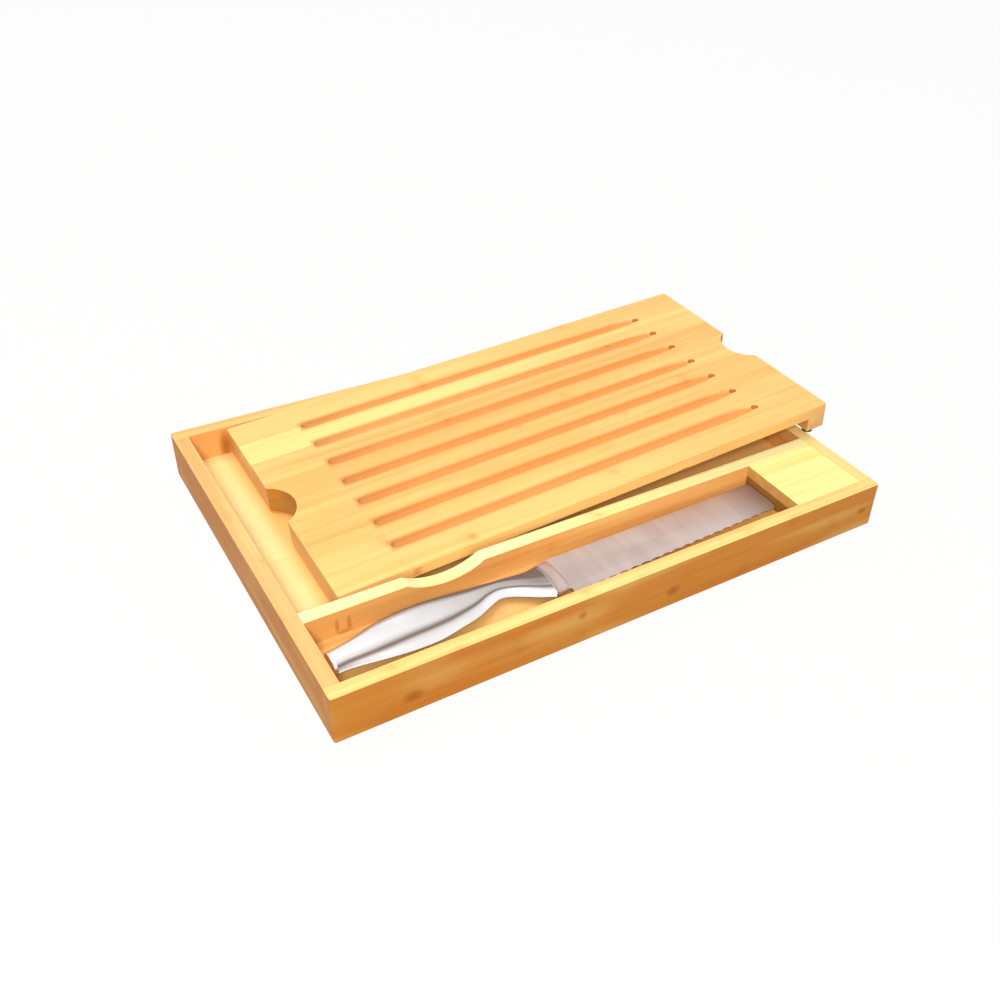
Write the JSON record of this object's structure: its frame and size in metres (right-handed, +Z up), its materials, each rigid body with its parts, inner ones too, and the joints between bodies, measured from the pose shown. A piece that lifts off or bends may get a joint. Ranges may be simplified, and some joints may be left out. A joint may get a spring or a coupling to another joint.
{
  "type": "bread board with crumb tray and knife",
  "caption": "Shallow bamboo tray with a crumb bay and a knife bay; a grooved slicing board rests askew in it and a serrated all-steel bread knife lies in the front bay.",
  "frame": {"origin": "on the table, under the middle of the front rail's underside", "axes": "+X along the tray's length to the end that the board overhangs, +Y from the knife bay to the back, +Z up"},
  "size_m": [0.4362, 0.3, 0.058],
  "materials": {
    "tray_bamboo": "clear satin varnish over bamboo strips",
    "floor_bamboo": "clear satin varnish over bamboo ply",
    "board_bamboo": "oiled bamboo strips, fine grain with nodes",
    "dowel_wood": "plain beech",
    "foot_rubber": "matt dark rubber",
    "blade_steel": "satin ground stainless steel",
    "handle_steel": "polished stainless steel"
  },
  "bodies": {
    "tray": {"front_rail": "tray_bamboo", "rear_rail": "tray_bamboo", "left_rail": "tray_bamboo", "right_rail": "tray_bamboo", "tray_floor": "floor_bamboo", "knife_bay_floor": "floor_bamboo", "divider": "tray_bamboo", "end_block": "tray_bamboo", "corner_dowels": "dowel_wood", "divider_dowels": "dowel_wood", "block_dowels": "dowel_wood"},
    "board": {"board_stave_1": "board_bamboo", "board_stave_2": "board_bamboo", "board_stave_3": "board_bamboo", "board_stave_4": "board_bamboo", "board_stave_5": "board_bamboo", "board_stave_6": "board_bamboo", "board_stave_7": "board_bamboo", "board_stave_8": "board_bamboo", "left_batten": "board_bamboo", "right_batten": "board_bamboo", "batten_pegs": "dowel_wood", "left_front_foot": "foot_rubber", "left_back_foot": "foot_rubber", "right_front_foot": "foot_rubber", "right_back_foot": "foot_rubber"},
    "knife": {"knife_blade": "blade_steel", "knife_bolster": "handle_steel", "handle_upper_shell": "handle_steel", "handle_lower_shell": "handle_steel", "handle_end_cap": "handle_steel"}
  },
  "joints": [
    {"name": "board_lift", "type": "slide", "parent": "tray", "child": "board", "axis": [0, 0, 1], "range_m": [0, 0.06]},
    {"name": "knife_lift", "type": "slide", "parent": "tray", "child": "knife", "axis": [0, 0, 1], "range_m": [0, 0.06]}
  ]
}
